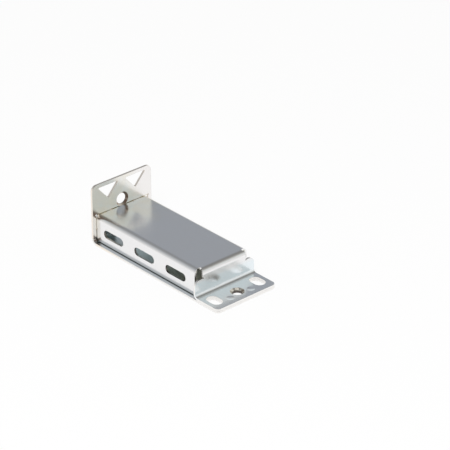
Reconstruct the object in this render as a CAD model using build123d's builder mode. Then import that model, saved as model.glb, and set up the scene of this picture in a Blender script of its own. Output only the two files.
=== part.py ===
# Rack mount ear bracket: two folded steel sheets that make one closed, stiff arm.
# The base is the bottom plate with the mounting ear folded up at one end.
# The cover is a folded channel laid over it, with its own end wall and foot flange.
# Millimetres. +X runs from the ear to the foot, +Z is up, the underside is at Z = 0.
# The origin is the centre of the bounding box's bottom face.
from build123d import *

import math
import os

os.makedirs("parts", exist_ok=True)

# Sheets
base_thickness = 1.3
base_bend_radius = 2.0  # inside of the fold between bottom plate and ear
cover_thickness = 1.3
cover_bend_radius = 2.0  # inside of the cover's folds, at its top edges and between end wall and foot
sink_angle = 100  # of the countersinks in both sheets
seam_gap = 0.3  # from the cover's edges to the ear
crevice_gap = 0.3  # from the side walls' lower edges to the bottom plate

# Overall form
bracket_width = 43.6  # one rack unit, less the clearance such hardware keeps
body_length = 88.9  # ear's outer face to the end wall's outer face
foot_length = 18.4  # end wall's outer face to the foot's free edge
foot_corner_radius = 2.8
ear_height = 36.6
ear_corner_radius = 3.5
ledge_width = 2.6  # bottom plate beside the cover, along each side
cover_height = 16.45  # cover's top face above the bottom plate

# Ear: two downward triangles, a countersunk screw hole, the notch and its tongue
triangle_width = 15.4
triangle_depth = 8.6
triangle_corner_radius = 0.5
triangle_spacing = 20.0
triangle_top_edge = 2.1  # below the ear's top edge
ear_hole_diameter = 6.4
ear_sink_diameter = 8.9
ear_hole_above_cover = 3.9  # hole's centre above the cover's top face
notch_width = 10.7
notch_height = 11.2
notch_setback = 2.4  # bottom plate's edge inside the notch, from the ear's outer face
tongue_width = 5.8
tongue_length = 5.0  # beyond the ear's outer face
tongue_offset = 0.4  # tongue's middle from the bracket's middle
tongue_large_radius = 3.0
tongue_small_radius = 0.5

# Windows in the ear, where the cover's corner tabs come through
window_inner_side = 8.3  # window's inner edge from the middle
window_bottom = 8.9
tab_clearance = 0.12
window_relief_radius = 0.5

# Cover: side slots, end wall and corner reliefs
side_slot_length = 16.9
side_slot_height = 5.1
side_slot_count = 3
side_slot_first = 16.25  # centre of the slot nearest the ear, from the ear's outer face
side_slot_last = 19.35  # centre of the slot nearest the foot, from the end wall's outer face
side_slot_rise = 7.5  # slots' centres above the bottom plate
neck_inset = 3.4  # end wall's edges above its shoulders, from the cover's sides
neck_relief_radius = 0.9
neck_relief_run = 0.1  # from the side walls' ends to the start of the end wall's fold
shoulder_rise = 9.7  # shoulders above the foot's top face
shoulder_radius = 3.8
shoulder_relief_radius = 0.4
wall_corner_cut = 2.2  # bevel that clears the fold under the ear

# Foot: two slots at a rack unit's hole spacing, a countersunk hole, two weld dents
foot_slot_length = 10.3
foot_slot_width = 6.9
foot_slot_spacing = 31.75
foot_slot_reach = 9.3  # slots' centres from the end wall's outer face
foot_hole_diameter = 5.7
foot_sink_diameter = 8.2
foot_hole_reach = 10.25
dent_diameter = 4.7
dent_depth = 0.2
dent_reach = 13.1
dent_spacing = 15.2

past = 1.0  # how far a cut runs past the sheet that it goes through
level_margin = 0.01  # how near an edge lies to the level that it is picked by

# Places that follow from the sizes above
overall_length = tongue_length + body_length + foot_length
ear_x = tongue_length - overall_length / 2
ear_inner_x = ear_x + base_thickness
end_x = ear_x + body_length
end_inner_x = end_x - cover_thickness
foot_x = end_x + foot_length
half_width = bracket_width / 2
half_cover = half_width - ledge_width
half_neck = half_cover - neck_inset
base_fold_radius = base_bend_radius + base_thickness
cover_fold_radius = cover_bend_radius + cover_thickness
cover_top = base_thickness + cover_height
foot_top = base_thickness + cover_thickness
wall_foot = base_thickness + crevice_gap
cover_start_x = ear_inner_x + seam_gap
side_end_x = end_x - cover_fold_radius - neck_relief_run
shoulder_z = foot_top + shoulder_rise
foot_slot_x = end_x + foot_slot_reach
foot_slot_y = foot_slot_spacing / 2
foot_hole_x = end_x + foot_hole_reach


def round_corners(sketch, corners, radius):
    """Round the corners of a sketch that stand at the given points."""
    fillet([sketch.vertices().sort_by_distance(corner)[0] for corner in corners], radius)


# The cover's cross-section: an upside-down U
with BuildSketch() as channel_section:
    inner_half = half_cover - cover_thickness
    inner_top = cover_top - cover_thickness
    with BuildLine():
        Polyline(
            (-half_cover, wall_foot),
            (-half_cover, cover_top),
            (half_cover, cover_top),
            (half_cover, wall_foot),
            (inner_half, wall_foot),
            (inner_half, inner_top),
            (-inner_half, inner_top),
            (-inner_half, wall_foot),
            close=True,
        )
    make_face()
    round_corners(channel_section, [(-half_cover, cover_top), (half_cover, cover_top)], cover_fold_radius)
    round_corners(channel_section, [(-inner_half, inner_top), (inner_half, inner_top)], cover_bend_radius)

# Base: bottom plate and ear
with BuildPart() as base:
    with BuildSketch(Plane.XZ) as base_section:
        with BuildLine():
            Polyline(
                (ear_x, ear_height),
                (ear_x, 0),
                (foot_x, 0),
                (foot_x, base_thickness),
                (ear_inner_x, base_thickness),
                (ear_inner_x, ear_height),
                close=True,
            )
        make_face()
        round_corners(base_section, [(ear_x, 0)], base_fold_radius)
        round_corners(base_section, [(ear_inner_x, base_thickness)], base_bend_radius)
    extrude(amount=half_width, both=True)

    # Rounded corners at the ear's top and the foot's free end
    fillet(base.edges().filter_by(Axis.X).group_by(Axis.Z)[-1], ear_corner_radius)
    fillet(base.edges().filter_by(Axis.Z).group_by(Axis.X)[-1], foot_corner_radius)

    # Notch through the fold, with the bottom plate left flat inside it
    with BuildSketch(Plane.YZ.offset(ear_x - past)):
        Rectangle(notch_width, 2 * notch_height)
    extrude(amount=base_fold_radius + past, mode=Mode.SUBTRACT)
    plate_edge_x = ear_x + notch_setback
    with BuildSketch():
        with Locations((plate_edge_x, 0)):
            Rectangle(base_fold_radius - notch_setback, notch_width, align=(Align.MIN, Align.CENTER))
    extrude(amount=base_thickness)

    # Tongue that runs out of the notch, its tip rounded more on one side
    with BuildSketch() as tongue:
        with Locations((plate_edge_x, tongue_offset)):
            Rectangle(notch_setback + tongue_length, tongue_width, align=(Align.MAX, Align.CENTER))
        tip = tongue.vertices().group_by(Axis.X)[0].sort_by(Axis.Y)
        fillet(tip[0], tongue_small_radius)
        tip = tongue.vertices().sort_by_distance((ear_x - tongue_length, tongue_offset + tongue_width / 2))
        fillet(tip[0], tongue_large_radius)
    extrude(amount=base_thickness)

    # Two triangles that point down
    triangle_top = ear_height - triangle_top_edge
    with BuildSketch(Plane.YZ.offset(ear_x)) as triangles:
        with Locations((-triangle_spacing / 2, triangle_top), (triangle_spacing / 2, triangle_top)):
            Polygon(
                (-triangle_width / 2, 0),
                (0, -triangle_depth),
                (triangle_width / 2, 0),
                align=None,
            )
        fillet(triangles.vertices(), triangle_corner_radius)
    extrude(amount=base_thickness, mode=Mode.SUBTRACT)

    # Windows for the corner tabs, with a small round relief at three corners of each
    window_outer_side = half_cover + tab_clearance
    window_top = cover_top + tab_clearance
    with BuildSketch(Plane.YZ.offset(ear_x)):
        for side in (-1, 1):
            middle_y = side * (window_inner_side + window_outer_side) / 2
            with Locations((middle_y, (window_bottom + window_top) / 2)):
                Rectangle(window_outer_side - window_inner_side, window_top - window_bottom)
            with Locations(
                (side * window_outer_side, window_top),
                (side * window_outer_side, window_bottom),
                (side * window_inner_side, window_top),
            ):
                Circle(window_relief_radius)
    extrude(amount=base_thickness, mode=Mode.SUBTRACT)

    # Screw hole, countersunk from the inner face
    with Locations(Plane((ear_inner_x, 0, cover_top + ear_hole_above_cover), z_dir=(1, 0, 0))):
        CounterSinkHole(
            radius=ear_hole_diameter / 2,
            counter_sink_radius=ear_sink_diameter / 2,
            depth=base_thickness,
            counter_sink_angle=sink_angle,
        )

    # Foot holes, in line with those of the flange above them
    with BuildSketch():
        with Locations((foot_slot_x, -foot_slot_y), (foot_slot_x, foot_slot_y)):
            SlotOverall(foot_slot_length, foot_slot_width)
        with Locations((foot_hole_x, 0)):
            Circle(foot_hole_diameter / 2)
    extrude(amount=base_thickness, mode=Mode.SUBTRACT)
base.part.label = "base_with_ear"

# Cover: channel, end wall and foot flange
with BuildPart() as cover:
    with BuildSketch(Plane.YZ.offset(cover_start_x)):
        add(channel_section.sketch)
    extrude(amount=side_end_x - cover_start_x)

    # Lower corners of the side walls, bevelled clear of the fold under the ear
    with BuildSketch(Plane.XZ):
        with Locations((cover_start_x, wall_foot)):
            Polygon((0, 0), (wall_corner_cut, 0), (0, wall_corner_cut), align=None)
    extrude(amount=half_width, both=True, mode=Mode.SUBTRACT)

    # Slots through both side walls
    slots_middle_x = (ear_x + side_slot_first + end_x - side_slot_last) / 2
    side_slot_pitch = (body_length - side_slot_first - side_slot_last) / (side_slot_count - 1)
    with BuildSketch(Plane.XZ):
        with Locations((slots_middle_x, base_thickness + side_slot_rise)):
            with GridLocations(side_slot_pitch, 0, side_slot_count, 1):
                SlotOverall(side_slot_length, side_slot_height)
    extrude(amount=half_width, both=True, mode=Mode.SUBTRACT)

    # Corner tabs that run on into the ear's windows
    tab_side = window_inner_side + tab_clearance
    tab_foot = window_bottom + tab_clearance
    with BuildSketch(Plane.YZ.offset(ear_x)):
        add(channel_section.sketch)
        Rectangle(2 * tab_side, 2 * cover_top, mode=Mode.SUBTRACT)
        Rectangle(2 * half_width, 2 * tab_foot, mode=Mode.SUBTRACT)
    extrude(amount=cover_start_x - ear_x)

    # End wall and foot flange, at first as wide as the bracket
    with BuildSketch(Plane.XZ) as end_section:
        with BuildLine():
            Polyline(
                (side_end_x, cover_top),
                (end_x, cover_top),
                (end_x, foot_top),
                (foot_x, foot_top),
                (foot_x, base_thickness),
                (end_inner_x, base_thickness),
                (end_inner_x, cover_top - cover_thickness),
                (side_end_x, cover_top - cover_thickness),
                close=True,
            )
        make_face()
        round_corners(end_section, [(end_x, cover_top)], cover_fold_radius)
        round_corners(end_section, [(end_inner_x, cover_top - cover_thickness)], cover_bend_radius)
        round_corners(end_section, [(end_x, foot_top)], cover_bend_radius)
        round_corners(end_section, [(end_inner_x, base_thickness)], cover_fold_radius)
    extrude(amount=half_width, both=True)

    # Above its shoulders the end wall narrows to a neck, with a relief at each inner corner
    with BuildSketch(Plane.XY.offset(shoulder_z)):
        for side in (-1, 1):
            with Locations((side_end_x, side * half_neck)):
                Rectangle(
                    cover_fold_radius + neck_relief_run + past,
                    half_width - half_neck,
                    align=(Align.MIN, Align.MIN if side > 0 else Align.MAX),
                )
            with Locations((side_end_x + neck_relief_radius, side * half_neck)):
                Circle(neck_relief_radius)
    extrude(amount=cover_top, mode=Mode.SUBTRACT)
    lowest = shoulder_z - level_margin
    highest = shoulder_z + level_margin
    level_edges = cover.edges().filter_by(Axis.X).filter_by_position(Axis.Z, lowest, highest).sort_by(Axis.Y)
    fillet([level_edges[0], level_edges[-1]], shoulder_radius)
    with BuildSketch(Plane.YZ.offset(end_inner_x)):
        with Locations((-half_neck, shoulder_z), (half_neck, shoulder_z)):
            Circle(shoulder_relief_radius)
    extrude(amount=cover_thickness, mode=Mode.SUBTRACT)

    # Foot: corners, slots, countersunk hole and weld dents
    fillet(cover.edges().filter_by(Axis.Z).group_by(Axis.X)[-1], foot_corner_radius)
    with BuildSketch(Plane.XY.offset(base_thickness)):
        with Locations((foot_slot_x, -foot_slot_y), (foot_slot_x, foot_slot_y)):
            SlotOverall(foot_slot_length, foot_slot_width)
    extrude(amount=cover_thickness, mode=Mode.SUBTRACT)
    with Locations((foot_hole_x, 0, foot_top)):
        CounterSinkHole(
            radius=foot_hole_diameter / 2,
            counter_sink_radius=foot_sink_diameter / 2,
            depth=cover_thickness,
            counter_sink_angle=sink_angle,
        )
    dent_ball_radius = (dent_diameter**2 / 4 + dent_depth**2) / (2 * dent_depth)
    dent_slope = math.degrees(math.asin(dent_diameter / 2 / dent_ball_radius))  # at the dent's rim
    dent_x = end_x + dent_reach
    dent_z = foot_top - dent_depth
    with Locations((dent_x, -dent_spacing / 2, dent_z), (dent_x, dent_spacing / 2, dent_z)):
        Sphere(
            dent_ball_radius,
            arc_size2=2 * dent_slope - 90,
            align=(Align.CENTER, Align.CENTER, Align.MIN),
            mode=Mode.SUBTRACT,
        )
cover.part.label = "cover"

export_step(base.part, "parts/base_with_ear.step")
export_step(cover.part, "parts/cover.step")
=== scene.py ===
"""Rack mount ear bracket: two folded sheets of zinc-plated steel on a pale studio floor.

Metres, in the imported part's frame: +X from the ear to the foot, +Z up, the underside at Z = 0.
"""

import math

import bpy
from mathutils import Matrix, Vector


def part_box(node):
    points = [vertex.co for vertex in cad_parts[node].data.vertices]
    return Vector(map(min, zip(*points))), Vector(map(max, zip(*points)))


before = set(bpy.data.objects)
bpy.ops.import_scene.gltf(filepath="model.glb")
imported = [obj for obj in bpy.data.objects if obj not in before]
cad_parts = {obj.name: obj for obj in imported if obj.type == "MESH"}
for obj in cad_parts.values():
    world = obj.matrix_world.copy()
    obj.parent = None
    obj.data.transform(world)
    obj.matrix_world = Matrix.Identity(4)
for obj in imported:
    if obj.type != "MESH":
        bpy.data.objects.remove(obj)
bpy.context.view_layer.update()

MM = 0.001

# Sizes of the part that its nodes' boxes don't give
BEND_RADIUS = 2.0 * MM  # inside of every fold
FOOT_LENGTH = 18.4 * MM
LEDGE_WIDTH = 2.6 * MM  # bottom plate beside the cover
EAR_HOLE_RISE = 3.9 * MM  # hole's centre above the cover's top
EAR_SINK_RADIUS = 4.45 * MM
FOOT_HOLE_REACH = 10.25 * MM  # hole's centre from the end wall
FOOT_SINK_RADIUS = 4.1 * MM
SINK_ANGLE = math.radians(100.0)

# Places that follow from the boxes: the cover starts at the ear's outer face and on the bottom plate
base_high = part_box("base_with_ear")[1]
cover_low, cover_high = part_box("cover")
SHEET = cover_low[2]
EAR_X = cover_low[0]
EAR_INNER_X = EAR_X + SHEET
EAR_TOP = base_high[2]
FOOT_X = cover_high[0]
FOOT_TOP = 2 * SHEET
END_X = FOOT_X - FOOT_LENGTH
END_INNER_X = END_X - SHEET
COVER_TOP = cover_high[2]
HALF_WIDTH = cover_high[1]
HALF_COVER = HALF_WIDTH - LEDGE_WIDTH

# Where the flat stretches end and the folds start
FOLD_RADIUS = BEND_RADIUS + SHEET
FLAT_END = END_X - FOLD_RADIUS
WALL_TOP = COVER_TOP - FOLD_RADIUS
HALF_FLAT_TOP = HALF_COVER - FOLD_RADIUS
FOOT_FOLD_TOP = FOOT_TOP + BEND_RADIUS


# Shader nodes

class Shader:
    """A node tree under construction: makes nodes and links them by value or by socket."""

    def __init__(self, tree):
        self.tree = tree
        tree.nodes.clear()

    def node(self, kind, inputs=None, **settings):
        made = self.tree.nodes.new(kind)
        for name, value in settings.items():
            setattr(made, name, value)
        for name, value in (inputs or {}).items():
            if isinstance(value, bpy.types.NodeSocket):
                self.tree.links.new(value, made.inputs[name])
            else:
                made.inputs[name].default_value = value
        return made

    def math(self, operation, first, second=0.0, third=0.0):
        made = self.node("ShaderNodeMath", {0: first, 1: second, 2: third}, operation=operation)
        return made.outputs[0]

    def dot(self, vector, direction):
        made = self.node("ShaderNodeVectorMath", {0: vector, 1: direction}, operation="DOT_PRODUCT")
        return made.outputs["Value"]

    def split(self, vector):
        """The vector's X, Y and Z."""
        return self.node("ShaderNodeSeparateXYZ", {"Vector": vector}).outputs

    def facing(self):
        """The face's own normal as X, Y and Z."""
        return self.split(self.node("ShaderNodeNewGeometry").outputs["True Normal"])

    def ramp(self, value, stops):
        """A smooth colour ramp over (position, colour) stops."""
        made = self.node("ShaderNodeValToRGB", {"Fac": value})
        made.color_ramp.interpolation = "EASE"
        elements = made.color_ramp.elements
        while len(elements) < len(stops):
            elements.new(0.5)
        for element, (position, colour) in zip(elements, stops):
            element.position = position
            element.color = (*colour, 1.0)
        return made.outputs["Color"]

    def step(self, value, low, high, start=0.0, end=1.0):
        """start below low, end above high, smooth between."""
        made = self.node(
            "ShaderNodeMapRange",
            {"Value": value, "From Min": low, "From Max": high, "To Min": start, "To Max": end},
        )
        made.interpolation_type = "SMOOTHSTEP"
        return made.outputs["Result"]

    def mix_colour(self, factor, first, second):
        made = self.node("ShaderNodeMix", {"Factor": factor}, data_type="RGBA")
        for index, value in ((6, first), (7, second)):
            if isinstance(value, bpy.types.NodeSocket):
                self.tree.links.new(value, made.inputs[index])
            else:
                made.inputs[index].default_value = (*value, 1.0)
        return made.outputs[2]

    def mix_value(self, factor, first, second):
        made = self.node("ShaderNodeMix", {"Factor": factor, 2: first, 3: second}, data_type="FLOAT")
        return made.outputs[0]

    def noise(self, vector, scale, detail=2.0):
        made = self.node("ShaderNodeTexNoise", {"Vector": vector, "Scale": scale, "Detail": detail})
        return made.outputs["Fac"]


def new_material(name):
    material = bpy.data.materials.new(name)
    material.use_nodes = True
    return material, Shader(material.node_tree)


# Zinc-plated steel: tints and painted shade

PLATING = (0.878, 0.874, 0.876)
PLATING_WARM = (0.885, 0.862, 0.80)
PLATING_PALE = (0.86, 0.867, 0.845)
PLATING_EAR = (0.905, 0.885, 0.87)
PLATING_FOOT = (0.93, 0.94, 0.95)
PLATING_END = (0.84, 0.90, 0.93)
# Painted shade under the cover, browner and darker towards the end wall
INSIDE_PAINTED_SHADE = (0.72, 0.80, 0.81)
INSIDE_END_PAINTED_SHADE = (0.58, 0.575, 0.49)
# Painted shade along the seam between the ear and the cover
SEAM_PAINTED_SHADE = (0.66, 0.58, 0.40)
PLATING_LEDGE = (0.845, 0.875, 0.895)
# Painted shade on the ledge along the foot of the cover's walls
LEDGE_CREVICE_PAINTED_SHADE = (0.32, 0.37, 0.365)
CUT_EDGE = (0.94, 0.925, 0.905)
CUT_EDGE_WARM = (0.95, 0.875, 0.79)
# Brown tint of the ear's countersink, darkened as painted shade
EAR_SINK_PAINTED_SHADE = (0.62, 0.55, 0.48)
FOOT_SINK = (0.80, 0.78, 0.70)
# Painted shade on the walls of the holes
HOLE_WALL_PAINTED_SHADE = (0.13, 0.115, 0.105)

# How much of a cone's light its burrs scatter, where they are thickest
EAR_BURR = 0.0
FOOT_BURR = 0.6

# Roughness of the plating, from its glossy to its cloudy patches, of the inside and of cut faces
GLOSSY = 0.18
CLOUDY = 0.25
DULL_INSIDE = 0.32
SHORN = 0.40

# Where the tints and painted shades start and end
WARM_START_X = -45.0 * MM
WARM_END_X = -15.0 * MM
WARM_WANDER = 30.0 * MM
EAR_WARM_START_Y = 2.0 * MM
EAR_WARM_END_Y = 14.0 * MM
END_TINT_START_Z = 9.0 * MM
END_TINT_END_Z = 13.0 * MM
HOLLOW_SHADE_START_X = -14.0 * MM
HOLLOW_SHADE_END_X = 6.0 * MM
CREVICE_SHADE = 1.3 * MM
SEAM_SHADE_REACH = 0.4 * MM

# Noise features per metre
WANDER_SCALE = 60.0
CLOUD_SCALE = 110.0
GLOSS_SCALE = 120.0
SEAM_SHADE_SCALE = 300.0
BURR_SCALE = 450.0
GRAIN_SCALE = (300.0, 5000.0, 5000.0)

GRAIN_STRENGTH = 0.06
GRAIN_DEPTH = 0.02 * MM
ARRIS_RADIUS = 0.18 * MM


# Zinc-plated steel: places

FACE_MARGIN = 0.02 * MM  # how near a box's face still counts as in the box
ACROSS_MARGIN = 0.5  # a normal with less than this across the sheet is a cut face's
SLOPE_MARGIN = 0.03

# Where each sheet is flat: the axis across it, then the box that holds that stretch
BASE_FLATS = [
    ("X", (EAR_X, -HALF_WIDTH, FOLD_RADIUS), (EAR_INNER_X, HALF_WIDTH, EAR_TOP)),
    ("Z", (EAR_X + FOLD_RADIUS, -HALF_WIDTH, 0.0), (FOOT_X, HALF_WIDTH, SHEET)),
]
COVER_FLATS = [
    ("Y", (EAR_X, -HALF_COVER, SHEET), (FLAT_END, SHEET - HALF_COVER, WALL_TOP)),
    ("Y", (EAR_X, HALF_COVER - SHEET, SHEET), (FLAT_END, HALF_COVER, WALL_TOP)),
    ("Z", (EAR_X, -HALF_FLAT_TOP, COVER_TOP - SHEET), (FLAT_END, HALF_FLAT_TOP, COVER_TOP)),
    ("X", (END_INNER_X, -HALF_WIDTH, FOOT_FOLD_TOP), (END_X, HALF_WIDTH, WALL_TOP)),
    ("Z", (END_X + BEND_RADIUS, -HALF_WIDTH, SHEET), (FOOT_X, HALF_WIDTH, FOOT_TOP)),
]

# The hollow under the cover, the ledges beside it, and the seam between it and the ear, where the shade is
# painted
HOLLOW = ((EAR_INNER_X, SHEET - HALF_COVER, SHEET), (END_INNER_X, HALF_COVER - SHEET, COVER_TOP - SHEET))
LEDGES = ((EAR_X + FOLD_RADIUS, -HALF_WIDTH, SHEET), (FLAT_END, HALF_WIDTH, SHEET))
SEAM = ((EAR_INNER_X, -HALF_COVER, COVER_TOP - SHEET), (EAR_INNER_X, HALF_COVER, COVER_TOP + SEAM_SHADE_REACH))

# The two countersinks: the hole's axis, its centre on the sheet's face, its outer radius, and the tint and
# burr of its cone; the ear's cone tint is darkened brown as painted shade
SINKS = [
    ("X", (EAR_INNER_X, 0.0, COVER_TOP + EAR_HOLE_RISE), EAR_SINK_RADIUS, EAR_SINK_PAINTED_SHADE, EAR_BURR),
    ("Z", (END_X + FOOT_HOLE_REACH, 0.0, FOOT_TOP), FOOT_SINK_RADIUS, FOOT_SINK, FOOT_BURR),
]


def in_box(shader, place, low, high):
    """1 in a box and on its faces."""
    along = shader.split(place)
    found = 1.0
    for name, start, end in zip("XYZ", low, high):
        inside = shader.math("COMPARE", along[name], (start + end) / 2, (end - start) / 2 + FACE_MARGIN)
        found = shader.math("MULTIPLY", inside, found)
    return found


def cut_faces(shader, place, flats):
    """1 on the sheet's cut faces: in a flat stretch, where the face doesn't look across the sheet."""
    facing = shader.facing()
    cut = 0.0
    for axis, low, high in flats:
        across = shader.math("COMPARE", facing[axis], 0.0, ACROSS_MARGIN)
        found = shader.math("MULTIPLY", across, in_box(shader, place, low, high))
        cut = shader.math("MAXIMUM", found, cut)
    return cut


def plating_tint(shader, place, near_ear):
    """The open faces' tint: warm in soft patches round the ear, and paler and cooler towards the foot."""
    along = shader.split(place)
    on_ear = shader.step(along["X"], EAR_INNER_X, EAR_INNER_X + SHEET, 1.0, 0.0)
    past_wall = shader.step(along["X"], END_INNER_X, END_X)
    low_wall = shader.step(along["Z"], END_TINT_START_Z, END_TINT_END_Z, 1.0, 0.0)
    low_fold = shader.step(along["Z"], FOOT_TOP, FOOT_FOLD_TOP, 1.0, 0.0)
    colour = shader.mix_colour(on_ear, PLATING, PLATING_EAR)
    colour = shader.mix_colour(shader.math("MULTIPLY", past_wall, low_wall), colour, PLATING_END)
    colour = shader.mix_colour(shader.math("MULTIPLY", past_wall, low_fold), colour, PLATING_FOOT)

    above_walls = shader.step(along["Z"], WALL_TOP, COVER_TOP)
    near_side = shader.step(along["Y"], EAR_WARM_START_Y, EAR_WARM_END_Y, 1.0, 0.0)
    warm = shader.math("MULTIPLY", near_ear, shader.mix_value(on_ear, above_walls, near_side))
    clouds = shader.step(shader.noise(place, CLOUD_SCALE), 0.38, 0.62)
    return shader.mix_colour(warm, colour, shader.mix_colour(clouds, PLATING_WARM, PLATING_PALE))


def tint_ledge_and_paint_shade(shader, place, colour, inside):
    """The ledge's tint, and painted shade where little light gathers: beside the cover on the ledge, under
    it, and along its seam.
    """
    along = shader.split(place)
    ledge = in_box(shader, place, *LEDGES)
    from_middle = shader.math("ABSOLUTE", along["Y"])
    beside_cover = shader.step(from_middle, HALF_COVER, HALF_COVER + CREVICE_SHADE, 1.0, 0.0)
    colour = shader.mix_colour(ledge, colour, PLATING_LEDGE)
    # Painted shade on the ledge, fading out from the cover's walls
    colour = shader.mix_colour(shader.math("MULTIPLY", beside_cover, ledge), colour, LEDGE_CREVICE_PAINTED_SHADE)

    # Painted shade in the hollow under the cover, deepening towards the end wall
    to_end_wall = shader.step(along["X"], HOLLOW_SHADE_START_X, HOLLOW_SHADE_END_X)
    painted_hollow_shade = shader.mix_colour(to_end_wall, INSIDE_PAINTED_SHADE, INSIDE_END_PAINTED_SHADE)
    colour = shader.mix_colour(inside, colour, painted_hollow_shade)

    # Painted shade along the seam, in patches, where the ear meets the cover's top
    patchy_seam_shade = shader.step(shader.noise(place, SEAM_SHADE_SCALE), 0.40, 0.60, 0.35, 1.0)
    seam = shader.math("MULTIPLY", patchy_seam_shade, in_box(shader, place, *SEAM))
    return shader.mix_colour(seam, colour, SEAM_PAINTED_SHADE)


def dress_holes(shader, place, colour, cut):
    """Painted shade on the hole walls, and each countersink's tint and burr on its cone, told by its slope
    to the axis; the ear's cone tint is darkened brown as painted shade.
    """
    facing = shader.facing()
    mottled = shader.step(shader.noise(place, BURR_SCALE), 0.42, 0.58)
    burred = 0.0
    for axis, centre, radius, cone_tint, burr in SINKS:
        low = [value - radius for value in centre]
        high = [value + radius for value in centre]
        around = in_box(shader, place, low, high)
        sloped = shader.math("COMPARE", facing[axis], math.sin(SINK_ANGLE / 2), SLOPE_MARGIN)
        cone = shader.math("MULTIPLY", sloped, around)
        # Painted shade: the hole's wall is coloured near black
        colour = shader.mix_colour(shader.math("MULTIPLY", cut, around), colour, HOLE_WALL_PAINTED_SHADE)
        colour = shader.mix_colour(cone, colour, cone_tint)
        burred = shader.math("MULTIPLY_ADD", shader.math("MULTIPLY", cone, mottled), burr, burred)
    return colour, burred


def rolled_relief(shader, place):
    """Rounded arrises, and rolling grain along the sheet."""
    rounded = shader.node("ShaderNodeBevel", {"Radius": ARRIS_RADIUS}, samples=6).outputs[0]
    stretched = shader.node("ShaderNodeMapping", {"Vector": place, "Scale": GRAIN_SCALE}).outputs[0]
    grain = {
        "Strength": GRAIN_STRENGTH,
        "Distance": GRAIN_DEPTH,
        "Height": shader.noise(stretched, 1.0, 3.0),
        "Normal": rounded,
    }
    return shader.node("ShaderNodeBump", grain).outputs["Normal"]


def zinc_plated_steel(name, flats):
    """Bright zinc plating: a slightly blurred mirror with faint tints, painted shade in its hollows, seam
    and holes, cloudy gloss and rolling grain.
    """
    material, shader = new_material(name)
    place = shader.node("ShaderNodeTexCoord").outputs["Object"]
    cut = cut_faces(shader, place, flats)
    inside = in_box(shader, place, *HOLLOW)
    wander = shader.math("MULTIPLY_ADD", shader.noise(place, WANDER_SCALE), WARM_WANDER, -WARM_WANDER / 2)
    from_ear = shader.math("ADD", shader.split(place)["X"], wander)
    near_ear = shader.step(from_ear, WARM_START_X, WARM_END_X, 1.0, 0.0)

    colour = plating_tint(shader, place, near_ear)
    colour = tint_ledge_and_paint_shade(shader, place, colour, inside)
    colour = shader.mix_colour(cut, colour, shader.mix_colour(near_ear, CUT_EDGE, CUT_EDGE_WARM))
    colour, burred = dress_holes(shader, place, colour, cut)

    gloss = shader.step(shader.noise(place, GLOSS_SCALE, 4.0), 0.3, 0.7, GLOSSY, CLOUDY)
    gloss = shader.mix_value(inside, gloss, DULL_INSIDE)

    surface = {
        "Base Color": colour,
        "Metallic": shader.math("SUBTRACT", 1.0, burred),
        "Roughness": shader.mix_value(cut, gloss, SHORN),
        "Normal": rolled_relief(shader, place),
    }
    plated = shader.node("ShaderNodeBsdfPrincipled", surface)
    shader.node("ShaderNodeOutputMaterial", {"Surface": plated.outputs[0]})
    return material


for node_name, flats in (("base_with_ear", BASE_FLATS), ("cover", COVER_FLATS)):
    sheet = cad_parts[node_name]
    sheet.data.materials.clear()
    sheet.data.materials.append(zinc_plated_steel("zinc_plated_steel_" + node_name, flats))


# Floor

FLOOR_SIZE = 12.0
FLOOR_COLOUR = (0.95, 0.95, 0.95, 1.0)
WHITE = (1.0, 1.0, 1.0)
WHITE_SHARE = 0.90  # the rest keeps the object's shadow


def studio_floor():
    """White floor that keeps a soft shadow. Metal sees the same white as the camera does."""
    material, shader = new_material("studio_floor")
    rays = shader.node("ShaderNodeLightPath").outputs
    seen = shader.math("MAXIMUM", rays["Is Camera Ray"], rays["Is Glossy Ray"])
    seen = shader.math("MAXIMUM", seen, rays["Is Transmission Ray"])
    white_share = shader.math("MULTIPLY", seen, WHITE_SHARE)
    lit = shader.node("ShaderNodeBsdfDiffuse", {"Color": FLOOR_COLOUR})
    white = shader.node("ShaderNodeEmission", {"Color": (*WHITE, 1.0), "Strength": 1.0})
    mixed = shader.node("ShaderNodeMixShader", {0: white_share, 1: lit.outputs[0], 2: white.outputs[0]})
    shader.node("ShaderNodeOutputMaterial", {"Surface": mixed.outputs[0]})
    return material


bpy.ops.mesh.primitive_plane_add(size=FLOOR_SIZE, location=(0.0, 0.0, 0.0))
floor = bpy.context.object
floor.name = "studio_floor"
floor.data.materials.append(studio_floor())


# World: a dim studio above the white floor, with a bright wall on the foot's side, a paler one on the
# other side, and a dark room behind the camera

CAMERA_AZIMUTH = math.radians(47.99)
TO_RIGHT = (math.cos(CAMERA_AZIMUTH), math.sin(CAMERA_AZIMUTH), 0.0)
TO_FRONT = (math.sin(CAMERA_AZIMUTH), -math.cos(CAMERA_AZIMUTH), 0.0)

DARK_ROOM = (0.16, 0.12, 0.10)
DARK_CEILING = (0.16, 0.14, 0.12)
PALE_HORIZON = (0.86, 0.855, 0.85)

# The studio's walls by how far to the right they stand: 0 is straight left, 0.5 ahead and 1 straight right
WALLS = [
    (0.00, (0.76, 0.76, 0.76)),
    (0.04, (0.65, 0.66, 0.67)),
    (0.10, (0.48, 0.50, 0.52)),
    (0.19, (0.34, 0.35, 0.36)),
    (0.28, (0.27, 0.28, 0.29)),
    (0.50, (0.341, 0.362, 0.395)),
    (0.60, (0.275, 0.28, 0.285)),
    (0.70, (0.225, 0.225, 0.22)),
    (0.78, (0.26, 0.26, 0.25)),
    (0.84, (0.335, 0.335, 0.32)),
    (0.885, (0.54, 0.53, 0.50)),
    (0.915, (0.75, 0.735, 0.70)),
    (0.94, (0.64, 0.74, 0.77)),
    (0.967, (0.87, 0.84, 0.81)),
    (1.00, (0.86, 0.85, 0.84)),
]


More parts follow.
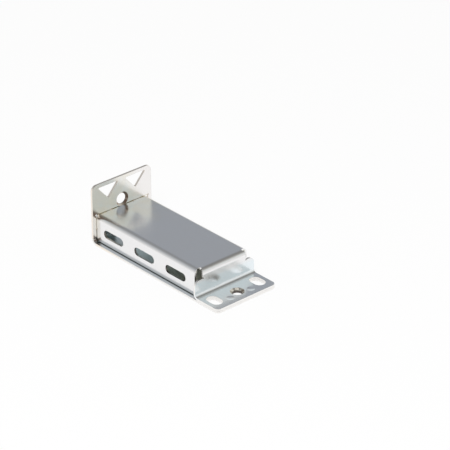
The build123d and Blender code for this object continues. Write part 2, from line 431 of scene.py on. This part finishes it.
def studio_world():
    world = bpy.data.worlds.new("studio")
    world.use_nodes = True
    bpy.context.scene.world = world
    shader = Shader(world.node_tree)
    direction = shader.node("ShaderNodeTexCoord").outputs["Generated"]
    height = shader.dot(direction, (0.0, 0.0, 1.0))
    across = shader.math("MULTIPLY_ADD", shader.dot(direction, TO_RIGHT), 0.5, 0.5)
    forward = shader.dot(direction, TO_FRONT)

    room = shader.mix_colour(shader.step(forward, 0.35, 0.75), shader.ramp(across, WALLS), DARK_ROOM)
    ceiling = shader.mix_colour(shader.step(height, 0.84, 0.95), room, DARK_CEILING)
    low = shader.step(height, 0.02, 0.36, 1.0, 0.0)
    beside_camera = shader.step(forward, 0.78, 0.88, 1.0, 0.0)
    horizon = shader.mix_colour(shader.math("MULTIPLY", low, beside_camera), ceiling, PALE_HORIZON)
    seen = shader.node("ShaderNodeLightPath").outputs["Is Camera Ray"]
    backdrop = shader.mix_colour(seen, horizon, WHITE)
    sky = shader.node("ShaderNodeBackground", {"Color": backdrop, "Strength": 1.0})
    shader.node("ShaderNodeOutputWorld", {"Surface": sky.outputs[0]})


studio_world()


# Lamp

def softbox(name, place, aim, size, watts):
    """A square lamp for the floor and the burrs. Metal shows the studio and not the lamp."""
    data = bpy.data.lights.new(name, "AREA")
    data.shape = "SQUARE"
    data.size = size
    data.energy = watts
    lamp = bpy.data.objects.new(name, data)
    bpy.context.collection.objects.link(lamp)
    lamp.location = place
    lamp.rotation_euler = (Vector(aim) - Vector(place)).to_track_quat("-Z", "Y").to_euler()
    lamp.visible_glossy = False


softbox("key_above_camera", (0.9, -1.0, 1.7), (0.0, 0.0, 0.015), 0.9, 40.0)


# Camera

CAMERA_ELEVATION = math.radians(28.44)
CAMERA_DISTANCE = 1405.7 * MM
CAMERA_LENS = 199.9
CAMERA_SENSOR = 36.0
CAMERA_NEAR = 0.05
CAMERA_AIM = Vector((9.14, 25.93, 18.95)) * MM


def photo_camera():
    level = Vector(TO_FRONT) * math.cos(CAMERA_ELEVATION)
    towards = level + Vector((0.0, 0.0, math.sin(CAMERA_ELEVATION)))
    data = bpy.data.cameras.new("photo_camera")
    data.lens = CAMERA_LENS
    data.sensor_width = CAMERA_SENSOR
    data.clip_start = CAMERA_NEAR
    camera = bpy.data.objects.new("photo_camera", data)
    bpy.context.collection.objects.link(camera)
    camera.location = CAMERA_AIM + towards * CAMERA_DISTANCE
    camera.rotation_euler = (-towards).to_track_quat("-Z", "Y").to_euler()
    bpy.context.scene.camera = camera


photo_camera()
bpy.context.scene.view_settings.view_transform = "Standard"
